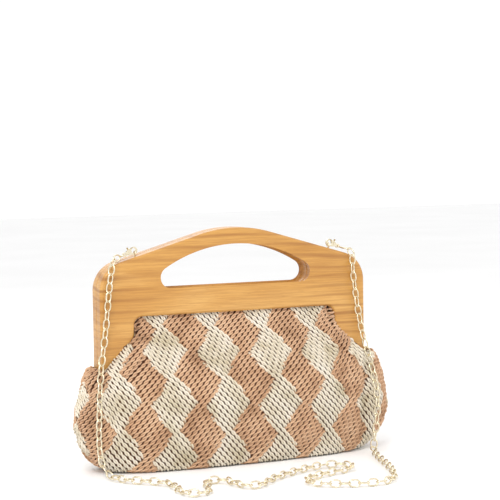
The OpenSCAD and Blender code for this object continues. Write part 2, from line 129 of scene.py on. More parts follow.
class Shader:
    """A material's node tree, with short calls to add and join nodes."""

    def __init__(self, name, **surface):
        self.material = bpy.data.materials.new(name)
        self.material.use_nodes = True
        self.tree = self.material.node_tree
        self.surface = self.tree.nodes["Principled BSDF"]
        for socket, value in surface.items():
            self.surface.inputs[socket.replace("_", " ")].default_value = value
        self.place = self.node("ShaderNodeTexCoord").outputs["Object"]

    def node(self, kind, links=(), **values):
        made = self.tree.nodes.new(kind)
        for key, value in values.items():
            setattr(made, key, value)
        for socket, value in dict(links).items():
            if isinstance(value, bpy.types.NodeSocket):
                self.tree.links.new(value, made.inputs[socket])
            else:
                made.inputs[socket].default_value = value
        return made

    def stretched(self, scale, turn=(0, 0, 0)):
        mapping = self.node("ShaderNodeMapping", {"Vector": self.place, "Scale": scale, "Rotation": turn})
        return mapping.outputs["Vector"]

    def noise(self, vector, scale, detail=4.0, rough=0.5, distortion=0.0):
        links = {"Vector": vector, "Scale": scale, "Detail": detail, "Roughness": rough,
                 "Distortion": distortion}
        return self.node("ShaderNodeTexNoise", links).outputs["Fac"]

    def ramp(self, fac, *stops):
        made = self.node("ShaderNodeValToRGB", {"Fac": fac})
        ramp = made.color_ramp
        while len(ramp.elements) < len(stops):
            ramp.elements.new(0.5)
        for element, (at, colour) in zip(ramp.elements, stops):
            element.position = at
            element.color = colour
        return made.outputs["Color"]

    def grey(self, fac, *stops):
        return self.ramp(fac, *[(at, (v, v, v, 1)) for at, v in stops])

    def mix(self, fac, a, b):
        return self.node("ShaderNodeMix", {0: fac, 6: a, 7: b}, data_type="RGBA").outputs[2]

    def maths(self, operation, a, b=0.5):
        return self.node("ShaderNodeMath", {0: a, 1: b}, operation=operation).outputs[0]

    def colour(self, value):
        self.tree.links.new(value, self.surface.inputs["Base Color"])

    def rough(self, value):
        self.tree.links.new(value, self.surface.inputs["Roughness"])

    def bump(self, height, strength, distance):
        made = self.node("ShaderNodeBump", {"Height": height, "Strength": strength, "Distance": distance})
        self.tree.links.new(made.outputs["Normal"], self.surface.inputs["Normal"])


def plain_floor():
    s = Shader("floor_white", Roughness=0.7, Specular_IOR_Level=0.2)
    tone = s.noise(s.stretched((1, 1, 1)), 3.0, 2.0)
    s.colour(s.ramp(tone, (0.3, (0.9, 0.9, 0.9, 1)), (0.7, (0.93, 0.93, 0.93, 1))))
    return s.material


def wood_material(name, pale, middle, deep, line, coat):
    """Straight-grained wood: long streaks along X, faint cathedral figure, fine pores and a lacquer coat."""
    s = Shader(name, Coat_Weight=coat, Coat_Roughness=0.22, Specular_IOR_Level=0.4)
    lean = (0, math.radians(3.5), 0)
    broad = s.noise(s.stretched((3.0, 6.0, 16.0), lean), 1.6, 3.0, 0.5, 0.8)
    base = s.ramp(broad, (0.28, deep), (0.5, middle), (0.72, pale))
    waver = s.noise(s.stretched((5.0, 2.0, 9.0), lean), 1.1, 2.0)
    wave = s.node(
        "ShaderNodeTexWave",
        {"Vector": s.stretched((0.9, 2.0, 6.0), lean), "Scale": 5.0, "Distortion": 16.0, "Detail": 3.0,
         "Detail Scale": 0.45, "Detail Roughness": 0.5},
        wave_type="BANDS", bands_direction="Z",
    ).outputs["Fac"]
    lines = s.grey(wave, (0.7, 0.0), (0.99, 1.0))
    faded = s.grey(waver, (0.42, 0.0), (0.62, 0.85))
    grained = s.mix(s.maths("MULTIPLY", lines, faded), base, line)
    fibres = s.noise(s.stretched((9.0, 60.0, 320.0), lean), 2.4, 5.0, 0.62)
    streaked = s.mix(s.grey(fibres, (0.4, 0.34), (0.58, 0.0)), grained, line)
    pores = s.noise(s.stretched((45.0, 420.0, 900.0), lean), 2.0, 2.0)
    s.colour(s.mix(s.grey(pores, (0.3, 0.3), (0.42, 0.0)), streaked, line))
    s.rough(s.grey(fibres, (0.3, 0.48), (0.7, 0.34)))
    s.bump(s.maths("ADD", fibres, s.maths("MULTIPLY", pores, 0.5)), 0.18, 0.0004)
    return s.material


def yarn_material(name, pale, middle, deep):
    """Twisted cotton cord: fine fibres along the lay, soft sheen and slight dye variation."""
    s = Shader(name, Roughness=0.82, Sheen_Weight=0.22, Sheen_Roughness=0.45, Specular_IOR_Level=0.25)
    dye = s.noise(s.stretched((22, 22, 22)), 2.0, 3.0, 0.6)
    base = s.ramp(dye, (0.3, deep), (0.5, middle), (0.72, pale))
    fibre = s.noise(s.stretched((900, 900, 900)), 2.0, 4.0, 0.7, 1.5)
    s.colour(s.mix(s.grey(fibre, (0.35, 0.45), (0.62, 0.0)), base, deep))
    s.rough(s.grey(fibre, (0.3, 0.9), (0.7, 0.74)))
    s.bump(fibre, 0.55, 0.0004)
    return s.material


def cloth_material(name, light, dark, threads):
    """Plain woven cloth: crossed threads, with slubs, and painted shade darkening the gaps between the
    threads.
    """
    s = Shader(name, Roughness=0.88, Sheen_Weight=0.15, Specular_IOR_Level=0.2)

    def thread(direction):
        links = {"Vector": s.stretched((1, 1, 1)), "Scale": threads, "Distortion": 0.6, "Detail": 1.0}
        return s.node("ShaderNodeTexWave", links, wave_type="BANDS", bands_direction=direction).outputs["Fac"]

    weave = s.maths("MULTIPLY", thread("X"), thread("Z"))
    slub = s.noise(s.stretched((60, 60, 260)), 2.0, 3.0)
    # Painted shade: the gaps between the threads are darkened, more in some places than others with the
    # slubs.
    gaps = s.maths("SUBTRACT", 1.0, weave)
    shade = s.maths("MULTIPLY", gaps, s.grey(slub, (0.3, 0.9), (0.7, 0.5)))
    s.colour(s.mix(shade, light, dark))
    s.bump(weave, 0.35, 0.0005)
    return s.material


def metal_material(name, pale, deep, rough):
    """Plated metal with faint cloudy tarnish and fine scratches."""
    s = Shader(name, Metallic=1.0)
    cloud = s.noise(s.stretched((140, 140, 140)), 2.0, 4.0, 0.6)
    s.colour(s.ramp(cloud, (0.3, deep), (0.65, pale)))
    scratch = s.noise(s.stretched((260, 1900, 700), (0.3, 0.5, 0.2)), 2.0, 3.0, 0.6)
    s.rough(s.grey(scratch, (0.3, rough + 0.12), (0.7, rough)))
    s.bump(scratch, 0.12, 0.0001)
    return s.material


def board_material():
    s = Shader("stiff_board", Roughness=0.8)
    fibre = s.noise(s.stretched((500, 500, 500)), 2.0, 4.0)
    s.colour(s.ramp(fibre, (0.3, (0.035, 0.033, 0.031, 1)), (0.7, (0.065, 0.06, 0.056, 1))))
    s.bump(fibre, 0.3, 0.0003)
    return s.material


def make_materials():
    return {
        "wood": wood_material("lacquered_wood", srgb(214, 167, 97), srgb(200, 148, 74), srgb(185, 131, 58),
                              srgb(152, 99, 42), 0.3),
        "strip": wood_material("bare_wood", srgb(226, 192, 140), srgb(210, 172, 118), srgb(196, 156, 102),
                               srgb(160, 118, 70), 0.0),
        "brown": yarn_material("brown_cord", srgb(228, 193, 159), srgb(212, 172, 137), srgb(177, 136, 102)),
        "cream": yarn_material("cream_cord", srgb(244, 237, 226), srgb(233, 223, 205), srgb(203, 189, 160)),
        # The backing under the cords is painted shade: a dark brown sheet that shows as the shade between the
        # cords.
        "shade_backing": cloth_material("backing_cloth", srgb(120, 80, 56), srgb(70, 44, 30), 260),
        "lining": cloth_material("lining_twill", srgb(226, 208, 172), srgb(190, 168, 130), 420),
        "board": board_material(),
        "gold": metal_material("champagne_gold", srgb(240, 230, 206), srgb(216, 202, 168), 0.2),
        "brass": metal_material("brass", srgb(222, 188, 112), srgb(196, 158, 86), 0.28),
        "steel": metal_material("nickel", srgb(178, 178, 182), srgb(150, 150, 155), 0.36),
        "trigger": metal_material("dark_gold", srgb(190, 166, 118), srgb(150, 126, 84), 0.3),
    }


# ---- mesh helpers ----

def new_piece(name, points, faces, material):
    """A smooth mesh object, from points in metres and faces that all have the same number of corners."""
    mesh = bpy.data.meshes.new(name)
    faces = np.asarray(faces, np.int32)
    count, corners = faces.shape
    mesh.vertices.add(len(points))
    mesh.vertices.foreach_set("co", np.asarray(points, np.float32).ravel())
    mesh.loops.add(faces.size)
    mesh.loops.foreach_set("vertex_index", faces.ravel())
    mesh.polygons.add(count)
    mesh.polygons.foreach_set("loop_start", np.arange(0, faces.size, corners, dtype=np.int32))
    mesh.polygons.foreach_set("use_smooth", np.full(count, True))
    mesh.update(calc_edges=True)
    mesh.validate()
    mesh.materials.append(material)
    return add_object(name, mesh)


def apply_modifiers(piece):
    evaluated = piece.evaluated_get(bpy.context.evaluated_depsgraph_get())
    mesh = bpy.data.meshes.new_from_object(evaluated)
    piece.modifiers.clear()
    piece.data = mesh


def thicken(piece, thickness):
    """Gives a sheet its thickness, on the side that its faces turn away from."""
    thick = piece.modifiers.new("thickness", "SOLIDIFY")
    thick.thickness = thickness
    thick.offset = -1
    apply_modifiers(piece)


def grid_quads(rows, cols):
    """Quads between the points of a grid, kept in the grid's rows and columns."""
    index = np.arange(rows * cols).reshape(rows, cols)
    return np.stack([index[:-1, :-1], index[:-1, 1:], index[1:, 1:], index[1:, :-1]], -1)


def tube_faces(rings, sides):
    """Quads between rings of points, each joined to the next."""
    r = np.arange(rings - 1)[:, None] * sides
    k = np.arange(sides)[None, :]
    nxt = (k + 1) % sides
    return np.stack([r + k, r + nxt, r + sides + nxt, r + sides + k], -1).reshape(-1, 4)


def unit(v):
    return v / np.maximum(np.linalg.norm(v, axis=-1, keepdims=True), 1e-12)


def smooth_step(v):
    v = np.clip(v, 0, 1)
    return v * v * (3 - 2 * v)


def rises(v, start, run):
    """0 up to the start, then smoothly up to 1 over a run."""
    return smooth_step((v - start) / run)


def falls(v, end, run):
    """1, then smoothly down over a run to 0 at the end."""
    return smooth_step((end - v) / run)


def ridge(v, width):
    """A rounded ridge, 1 where v is 0."""
    return np.exp(-(v / width) ** 2)


# ---- chain strap ----

# The centre line of part.scad's chain, in mm: down from the left clasp, where it lies on the ground, and
# up to the right clasp.
CHAIN_DOWN = [
    (-116.2, -6.2, 199), (-120.5, -8, 197.7), (-124.6, -12.4, 196.2), (-126.8, -15.6, 192.6),
    (-128, -16.6, 186), (-130, -16.2, 172), (-132, -16.2, 154), (-134, -16.4, 136), (-137, -17.5, 118),
    (-141, -21, 100), (-144.5, -26, 78), (-147, -29.5, 54), (-148, -31, 32), (-147, -34, 14),
    (-144.5, -42, 5.4),
]
CHAIN_LYING = [
    (-140, -55), (-132, -70), (-119, -82), (-108, -96), (-107, -114), (-110, -132), (-104, -148),
    (-90, -147), (-83, -132), (-79, -114), (-69, -104), (-57, -110), (-55, -126), (-50, -140),
    (-37, -142), (-26, -131), (-10, -118), (10, -106), (33, -95), (54, -90), (69, -96), (70, -110),
    (56, -119), (36, -125), (16, -134), (5, -148), (11, -164), (28, -174), (48, -181), (68, -180),
    (83, -165), (94, -142), (103, -116), (111, -90), (118, -68),
]
CHAIN_UP = [
    (124, -53, 4.2), (129, -44, 9.5), (133, -40.5, 22), (136, -39, 40), (137, -36.5, 58), (136, -31.5, 76),
    (134, -25.5, 94), (131.5, -19.5, 112), (129, -16.8, 130), (126, -16.2, 150), (123.5, -16.2, 168),
    (122.3, -16.4, 180), (122.2, -16.6, 188.6), (122.2, -15.9, 194.2), (121.8, -12.3, 197.7),
    (119.8, -8, 198), (116.2, -6.2, 199),
]
LYING_Z = 3.6
CHAIN_ROUTE = np.array(CHAIN_DOWN + [(x, y, LYING_Z) for x, y in CHAIN_LYING] + CHAIN_UP) * MM
LINK_PITCH = 8.4 * MM
LINK_WIRE_R = 0.72 * MM
LINK_HALF_LONG = 5.0 * MM
LINK_HALF_WIDE = 3.1 * MM
LINK_SQUARENESS = 0.85                 # below 1, a link's ends are blunter than an ellipse's
LINK_TWIST = 45                        # degrees to one side and the other, so a quarter turn between links
LINK_LOOSENESS = 0.1                   # scatter of the twist, in radians
LINK_TURN = 18                         # rings round a link
LINK_SIDES = 8                         # sides of its wire
CURVE_STEPS = 12                       # points between two of the route's
ACROSS_CHAIN = (0.25, 1.0, 0.75)       # a direction that the route never runs in


def smooth_route(points, step):
    """Points about a step apart on a smooth curve through the given ones, and the curve's length."""
    padded = np.vstack([2 * points[0] - points[1], points, 2 * points[-1] - points[-2]])
    t = np.linspace(0, 1, CURVE_STEPS, endpoint=False)[:, None]
    parts = []
    for a, b, c, d in zip(padded, padded[1:], padded[2:], padded[3:]):
        parts.append(0.5 * (2 * b + (c - a) * t + (2 * a - 5 * b + 4 * c - d) * t**2
                            + (3 * b - a - 3 * c + d) * t**3))
    line = np.vstack([*parts, points[-1:]])
    run = np.r_[0, np.cumsum(np.linalg.norm(np.diff(line, axis=0), axis=1))]
    at = np.linspace(0, run[-1], max(2, round(run[-1] / step)) + 1)
    return np.stack([np.interp(at, run, line[:, i]) for i in range(3)], 1), run[-1]


def make_chain(material):
    """Oval cable links, each turned a quarter turn from the last and a little loose."""
    nodes, length = smooth_route(CHAIN_ROUTE, LINK_PITCH)
    centres = (nodes[:-1] + nodes[1:]) / 2
    along = unit(np.diff(nodes, axis=0))
    side = unit(np.cross(along, ACROSS_CHAIN))
    over = np.cross(side, along)
    angle = 2 * np.pi * np.arange(LINK_TURN) / LINK_TURN
    c, s = np.cos(angle)[:, None], np.sin(angle)[:, None]
    ring = 2 * np.pi * np.arange(LINK_SIDES) / LINK_SIDES
    points, faces = [], []
    base = tube_faces(LINK_TURN + 1, LINK_SIDES) % (LINK_TURN * LINK_SIDES)
    for i, centre in enumerate(centres):
        twist = math.radians(LINK_TWIST if i % 2 else -LINK_TWIST) + rng.normal(0, LINK_LOOSENESS)
        wide = math.cos(twist) * side[i] + math.sin(twist) * over[i]
        flat = np.cross(along[i], wide)
        line = (centre + LINK_HALF_LONG * np.sign(c) * abs(c) ** LINK_SQUARENESS * along[i]
                + LINK_HALF_WIDE * s * wide)
        outward = unit(c * along[i] * LINK_HALF_WIDE + s * wide * LINK_HALF_LONG)
        wire = outward[:, None] * np.cos(ring)[None, :, None] + flat * np.sin(ring)[None, :, None]
        points.append((line[:, None] + LINK_WIRE_R * wire).reshape(-1, 3))
        faces.append(base + i * LINK_TURN * LINK_SIDES)
    chain = new_piece("chain_links", np.vstack(points), np.vstack(faces), material)
    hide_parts("chain_strap")
    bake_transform(chain)


# ---- wooden halves ----

WOOD_T = 12 * MM
PART_GAP = 0.15 * MM                   # from the meeting plane to each half
BEVEL = 0.5 * MM                       # at the meeting face
EDGE_ROUND = 2.8 * MM
LEG_ROUND = 1.2 * MM
ROUND_CHANGE_Z, ROUND_CHANGE_RUN = 0.092, 0.02
WOOD_SHARP_ANGLE = math.radians(32)
# The recesses in the meeting face, in mm.
REBATE_HALF_W, REBATE_DEPTH, REBATE_LOW, REBATE_HIGH = 101.5, 6.65, 130, 153
HINGE_X, HINGE_HALF_W, HINGE_DEPTH, HINGE_LOW, HINGE_HIGH = 128.5, 7.2, 1.15, 80, 104.2
MAGNET_X, MAGNET_Z, MAGNET_R, MAGNET_MIDDLE, MAGNET_LENGTH = 62, 159.2, 4.6, 1.2, 4.7


def arc(centre, r, start, end, steps):
    angles = np.radians(np.linspace(start, end, steps + 1))
    return [(centre[0] + r * math.cos(a), centre[1] + r * math.sin(a)) for a in angles]


def both_sides(right):
    """The points of the right half, then their mirror images back to the start."""
    return np.array(right + [(-x, z) for x, z in reversed(right)])


def frame_outline():
    """The wooden half's outer outline, from part.scad's dimensions, in mm."""
    half_w, top, arch_r, slope, corner_r, bar_z = 137.5, 223, 130, 16.2, 28, 143
    arch_z = top - arch_r
    slope_x = arch_r * math.sin(math.radians(slope))
    slope_z = arch_z + arch_r * math.cos(math.radians(slope))
    corner_z = slope_z - (half_w - slope_x) * math.tan(math.radians(slope))
    corner_run = corner_r * math.tan(math.radians((90 - slope) / 2))
    leg_end_z, inner_x, inner_r, tip_r = 88.6, 104.5, 8, 2
    right = arc((0, arch_z), arch_r, 90, 90 - slope, 30)
    right += arc((half_w - corner_r, corner_z - corner_run), corner_r, 90 - slope, 0, 24)
    right += [(half_w, z) for z in (130, 112, 102, 95)]
    right += arc((half_w - tip_r, leg_end_z + tip_r), tip_r, 0, -90, 6)
    right += [(128.5, leg_end_z), (121.5, leg_end_z), (118.7, 94.4), (114.5, 103.2), (110, 112.6)]
    right += [(inner_x, 124)]
    right += arc((inner_x - inner_r, bar_z - inner_r), inner_r, 0, 90, 12)
    right += [(x, bar_z) for x in (70, 40, 0.01)]
    return both_sides(right) * MM


def hand_hole_outline():
    """The hand hole's outline, with an arch that runs tangentially into its round ends."""
    half_w, low, high, end_r = 80.5, 165.5, 45, 13
    end_x, end_z, rise = half_w - end_r, low + end_r, high - end_r
    top_r = (end_x**2 + rise**2 - end_r**2) / (2 * (high - 2 * end_r))
    top_z = low + high - top_r
    meet = math.degrees(math.atan2(end_z - top_z, end_x))
    right = arc((end_x, end_z), end_r, -90, meet, 28)
    right += arc((0, top_z), top_r, meet + 1.5, 89.9, 30)
    return both_sides(right)[::-1] * MM


def inset(outline, amount):
    """The outline moved into the wood by an amount that may differ from point to point."""
    before, after = np.roll(outline, 1, 0), np.roll(outline, -1, 0)

    def normal(a, b):
        d = unit(b - a)
        return np.stack([d[:, 1], -d[:, 0]], 1)

    n1, n2 = normal(before, outline), normal(outline, after)
    both = unit(n1 + n2)
    sharpest = 0.6                     # keeps the points of sharp corners from running far out
    reach = 1 / np.maximum((both * n1).sum(1), sharpest)
    return outline + both * (np.asarray(amount) * reach)[:, None]


def wood_half(name, side, body, material):
    """One wooden half: side is -1 at the front and 1 at the back."""
    bevel = [(BEVEL, 0.0), (0.0, BEVEL)]
    rounding = [(1 - math.cos(a), 1 - math.sin(a)) for a in np.radians((0, 22, 45, 68, 90))]
    points, faces, loops = [], [], []
    total = 0
    for outline in (frame_outline(), hand_hole_outline()):
        n = len(outline)
        above_leg = rises(outline[:, 1], ROUND_CHANGE_Z, ROUND_CHANGE_RUN)
        round_by = LEG_ROUND + (EDGE_ROUND - LEG_ROUND) * above_leg
        rings = [(inset(outline, np.full(n, a)), np.full(n, PART_GAP + b)) for a, b in bevel]
        rings += [(inset(outline, round_by * a), PART_GAP + WOOD_T - round_by * b) for a, b in rounding]
        points += [np.stack([moved[:, 0], side * depth, moved[:, 1]], 1) for moved, depth in rings]
        faces.append(tube_faces(len(rings), n) + total)
        last = total + (len(rings) - 1) * n
        loops.append((range(total, total + n), range(last, last + n)))
        total += len(rings) * n
    points = np.vstack(points)
    caps = []
    for which in (0, 1):
        flat = [[Vector((points[i][0], points[i][2], 0)) for i in loop[which]] for loop in loops]
        index = [i for loop in loops for i in loop[which]]
        caps += [tuple(index[i] for i in tri) for tri in tessellate_polygon(flat)]
    mesh = bpy.data.meshes.new(name)
    mesh.from_pydata(points.tolist(), [], np.vstack(faces).tolist() + caps)
    built = bmesh.new()
    built.from_mesh(mesh)
    bmesh.ops.recalc_face_normals(built, faces=built.faces)
    built.to_mesh(mesh)
    built.free()
    mesh.materials.append(material)
    piece = add_object(name, mesh)
    cut_recesses(piece, side)
    for polygon in piece.data.polygons:
        polygon.use_smooth = True
    piece.data.set_sharp_from_angle(angle=WOOD_SHARP_ANGLE)
    weighted = piece.modifiers.new("weighted", "WEIGHTED_NORMAL")
    weighted.keep_sharp = True
    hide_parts(name.replace("_board", "_wood"))
    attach(piece, body)


def cut_recesses(piece, side):
    """Cuts the hem rebate, the hinge recesses and the magnet pockets into the meeting face."""
    cutters = bmesh.new()
    past = 1 * MM                      # how far a block stands out of the face it cuts

    def block(middle, half_w, depth, low, high):
        x0, x1, z0, z1 = middle * MM - half_w * MM, middle * MM + half_w * MM, low * MM, high * MM
        centre = Vector(((x0 + x1) / 2, side * (depth * MM - past) / 2, (z0 + z1) / 2))
        size = Matrix.Diagonal((x1 - x0, depth * MM + past, z1 - z0, 1))
        bmesh.ops.create_cube(cutters, size=1, matrix=Matrix.Translation(centre) @ size)

    block(0, REBATE_HALF_W, REBATE_DEPTH, REBATE_LOW, REBATE_HIGH)
    for x in (-HINGE_X, HINGE_X):
        block(x, HINGE_HALF_W, HINGE_DEPTH, HINGE_LOW, HINGE_HIGH)
    for x in (-MAGNET_X, MAGNET_X):
        place = Matrix.Translation((x * MM, side * MAGNET_MIDDLE * MM, MAGNET_Z * MM))
        bmesh.ops.create_cone(
            cutters, cap_ends=True, segments=40, radius1=MAGNET_R * MM, radius2=MAGNET_R * MM,
            depth=MAGNET_LENGTH * MM, matrix=place @ Matrix.Rotation(math.pi / 2, 4, "X"),
        )
    mesh = bpy.data.meshes.new("cutters")
    cutters.to_mesh(mesh)
    cutters.free()
    tool = add_object("cutters", mesh)
    cut = piece.modifiers.new("recesses", "BOOLEAN")
    cut.operation = "DIFFERENCE"
    cut.solver = "EXACT"
    cut.object = tool
    apply_modifiers(piece)
    bpy.data.objects.remove(tool)


# ---- the bag's cloth ----

# The bag's half width, half depth and edge depth at each height, from part.scad, in mm.
WIDTH_AT = np.array([
    (0, 122), (2, 130), (6, 138), (13, 147), (26, 155.5), (42, 160), (60, 158.5), (74, 155), (84, 151),
    (92, 148.5), (97, 146), (104, 138), (112, 125), (120, 112), (130, 106.5), (143, 105), (160, 105),
])
DEPTH_AT = np.array([
    (0, 31), (2, 35), (6, 38.5), (13, 41.5), (26, 45), (42, 47), (60, 46.5), (74, 45), (84, 42.5),
    (97, 36), (104, 32), (112, 27), (120, 21.5), (128, 16), (136, 10.5), (143, 6.2), (160, 6.2),
])
EDGE_AT = np.array([(84, 0), (104, 2), (120, 3), (136, 5), (143, 6.2), (160, 6.2)])
FULLNESS = 2.6                         # exponent of the bag's outline: 2 is an ellipse, more is squarer
RIGHT_FULLNESS = 0.034                 # the cloth hangs out further past the right leg
HEM_Z = 147
FOLD_FROM, FOLD_TO = (102.4, 127.5), (138, 92.5)    # the cloth's edge over a leg, top and bottom
GRID_ACROSS = 121
WALL_HEIGHTS = np.linspace(0, HEM_Z, 64)
SEAM_SHARE = 0.04                      # share of the half girth over which the shaping fades out at a side
# How far each feature brings the cloth out or in, in mm.
OVER_LEG, ROLL, CREASE, CURL, GATHER, SWELL = 15.2, 2.4, 2.8, 2.0, 0.9, 1.1
FRONT_UPRIGHT, BACK_UPRIGHT, LEFT_FOLD = 3.6, 2.0, 1.8
WEAKER_LEG = 0.75                      # of the roll and crease, at the front's +X leg and the back's -X leg
SETTLE_FRAMES = 24
SETTLE_MOST = 3.2 * MM                 # the simulation moves no point further than this
SHEET_T, POCKET_T = 0.7 * MM, 0.5 * MM
# The dark backing sheet under the cords is painted shade, seen between the cords.
SHADE_BACKING_DEPTH, SHADE_BACKING_FLOOR = 1.6 * MM, 0.6 * MM
LINING_DEPTH, LINING_FLOOR = 4.0 * MM, 5.4 * MM
POCKET_HALF_W, POCKET_HEIGHTS = 54, (28, 72)


def at_height(table, z):
    return np.interp(z, table[:, 0], table[:, 1])


def section(z):
    """Half of the bag's outline at a height: x, depth and distance along it from the middle."""
    phi = np.linspace(np.pi / 2, 0, 300)
    wide, deep, edge = at_height(WIDTH_AT, z), at_height(DEPTH_AT, z), at_height(EDGE_AT, z)
    x = wide * np.cos(phi) ** (2 / FULLNESS)
    y = edge + (deep - edge) * np.sin(phi) ** (2 / FULLNESS)
    x[0] = 0
    run = np.r_[0, np.cumsum(np.hypot(np.diff(x), np.diff(y)))]
    return x, y, run


def cloth_top(x):
    """Height of the cloth's top edge: the hem behind the cross-bar, and a slant down over each leg."""
    out = (100.6, 101.2, FOLD_FROM[0], FOLD_TO[0], 143, 170)
    top = (HEM_Z, 131, FOLD_FROM[1], FOLD_TO[1], 97, 97)
    return np.interp(np.abs(x), out, top)


def from_fold(x, z):
    """A point's distances below the cloth's slanting edge over the nearer leg, and along that edge."""
    run = np.array(FOLD_TO) - np.array(FOLD_FROM)
    run = run / np.hypot(*run)
    out, up = np.abs(x) - FOLD_FROM[0], z - FOLD_FROM[1]
    return out * run[1] - up * run[0], out * run[0] + up * run[1]


def hand_shaped(x, y, z, side):
    """The cloth's depth with its cover over the legs, the rolled edge, the creases and the gathers."""
    out = np.abs(x)
    over_leg = rises(out, 98.5, 4.5) * rises(z, 78, 10)
    over_leg = over_leg * (1 - rises(out, 139, 6))
    y = np.maximum(y, OVER_LEG * over_leg)
    below, along = from_fold(x, z)
    roll = smooth_step(1 - np.abs(below - 8) / 11) * rises(along, -6, 12) * falls(along, 56, 14)
    strength = np.where(x * side > 0, 1.0, WEAKER_LEG)
    y = y + ROLL * roll * strength
    crease = ridge(below - 17.5, 2.4) * rises(along, 2, 14) * falls(along, 62, 18)
    y = y - CREASE * crease * strength
    curl = np.clip(1 - below / 3.2, 0, 1) * (out > 99) * (z > 80)
    y = y - CURL * curl**2
    gather = np.sin(x / 4.1 + 1.3 * np.sin(x / 17.0)) * rises(z, 124, 14) * falls(out, 104, 8)
    y = y + GATHER * gather
    upright = ridge(x - 127 - 0.1 * (z - 60), 3.6) * rises(z, 14, 22) * falls(z, 104, 18)
    y = y - (FRONT_UPRIGHT if side < 0 else BACK_UPRIGHT) * upright
    left_fold = ridge(x + 133 + 0.16 * (z - 60), 4.5) * rises(z, 30, 24) * falls(z, 98, 14)
    y = y - LEFT_FOLD * left_fold
    swell = np.sin(x / 31 + 0.7 + z / 55) * np.sin(z / 24 + x / 70) * rises(z, 0, 20) * falls(z, 140, 20)
    return y + SWELL * swell * (y > 20)


